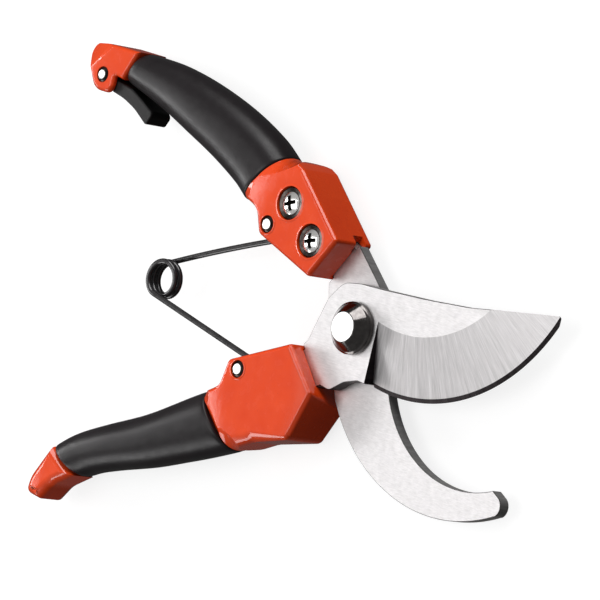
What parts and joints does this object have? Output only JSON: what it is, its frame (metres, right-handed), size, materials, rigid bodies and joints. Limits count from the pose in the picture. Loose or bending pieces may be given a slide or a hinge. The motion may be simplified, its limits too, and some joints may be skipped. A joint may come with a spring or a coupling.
{
  "type": "bypass pruner",
  "caption": "Bypass pruner with a ground cutting blade passing a hook blade, padded handles held open by a coiled wire spring, and a swinging catch at one handle's tail.",
  "frame": {"origin": "centre of the pivot nut's flat end face, on the pivot axis", "axes": "+X along the blades away from the handles, +Y towards the handle that carries the hook blade, +Z along the pivot axis towards the pivot bolt's head"},
  "size_m": [0.2117, 0.1445, 0.0177],
  "materials": {
    "orange_paint": "gloss",
    "black_rubber": "satin",
    "ground_steel": "ground satin",
    "dark_chrome": "polished dark",
    "zinc_steel": "bright plated",
    "black_wire": "gloss",
    "black_plastic": "matt",
    "bronze": "satin"
  },
  "bodies": {
    "upper": {"upper_handle": "orange_paint", "upper_grip": "black_rubber", "hook_blade": "ground_steel", "hook_screw_1": "zinc_steel", "hook_screw_2": "zinc_steel", "upper_spring_rivet": "zinc_steel", "latch_rivet": "zinc_steel", "pivot_bolt": "dark_chrome", "pivot_spring_washer": "zinc_steel", "pivot_nut": "zinc_steel"},
    "lower": {"lower_handle": "orange_paint", "lower_grip": "black_rubber", "cutting_blade": "ground_steel", "blade_screw_1": "zinc_steel", "blade_screw_2": "zinc_steel", "lower_spring_rivet": "zinc_steel", "pivot_bush": "bronze"},
    "spring_rear": {"spring_rear_half": "black_wire"},
    "spring_front": {"spring_front_half": "black_wire"},
    "catch": {"latch": "black_plastic"}
  },
  "joints": [
    {"name": "main_pivot", "type": "hinge", "parent": "upper", "child": "lower", "pos_m": [0, 0, 0.0098], "axis": [0, 0, -1], "range_deg": [0, 46], "stiffness_Nm_per_rad": 0.5, "springref_deg": -20.05},
    {"name": "spring_swing", "type": "hinge", "parent": "upper", "child": "spring_rear", "pos_m": [-0.0399, 0.0229, 0.0066], "axis": [0, 0, -1], "range_deg": [0, 44], "deforming": ["spring_rear_half"]},
    {"name": "spring_fold", "type": "hinge", "parent": "spring_rear", "child": "spring_front", "pos_m": [-0.0856, -0.0033, 0.0091], "axis": [0, 0, -1], "range_deg": [-40.5, 0], "deforming": ["spring_front_half"]},
    {"name": "catch_pivot", "type": "hinge", "parent": "upper", "child": "catch", "pos_m": [-0.1271, 0.0531, 0.0091], "axis": [0, 0, -1], "range_deg": [0, 110]}
  ],
  "couplings": [
    {"joint": "spring_swing", "follows": "main_pivot", "ratio": 0.937},
    {"joint": "spring_fold", "follows": "main_pivot", "ratio": -0.861}
  ]
}
